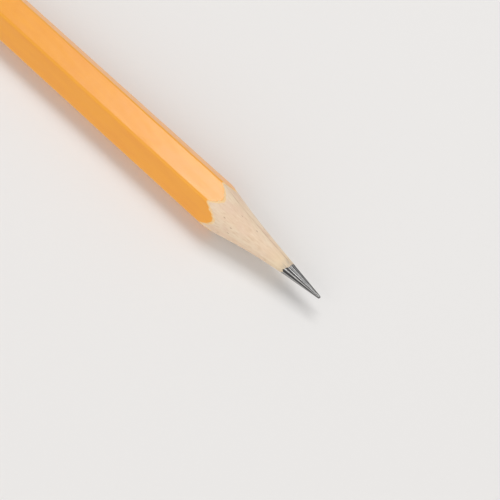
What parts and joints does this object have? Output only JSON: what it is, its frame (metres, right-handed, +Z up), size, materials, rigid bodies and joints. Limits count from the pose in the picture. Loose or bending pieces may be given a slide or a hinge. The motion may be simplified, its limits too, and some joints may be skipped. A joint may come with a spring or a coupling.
{
  "type": "graphite pencil",
  "caption": "Sharpened six-sided wood-cased graphite pencil, yellow-orange gloss lacquer, crimped aluminium ferrule and pink eraser.",
  "frame": {"origin": "under the middle of the length, on the surface that the pencil's lowest flat rests on", "axes": "+X along the pencil towards the point of the lead, +Z up, square to the flat that it rests on"},
  "size_m": [0.188, 0.0078, 0.007],
  "materials": {
    "graphite": "satin metallic grey",
    "wood": "bare, cut by a sharpener",
    "glue": "dried wood glue",
    "undercoat": "matt sealer",
    "lacquer": "glossy yellow-orange lacquer",
    "ferrule": "bright rolled aluminium",
    "eraser": "matt pink rubber"
  },
  "bodies": {
    "root": {"graphite_core": "graphite", "front_slat": "wood", "back_slat": "wood", "upper_glue_line": "glue", "lower_glue_line": "glue", "undercoat": "undercoat", "lacquer_coat": "lacquer", "ferrule": "ferrule", "eraser": "eraser"}
  },
  "joints": []
}
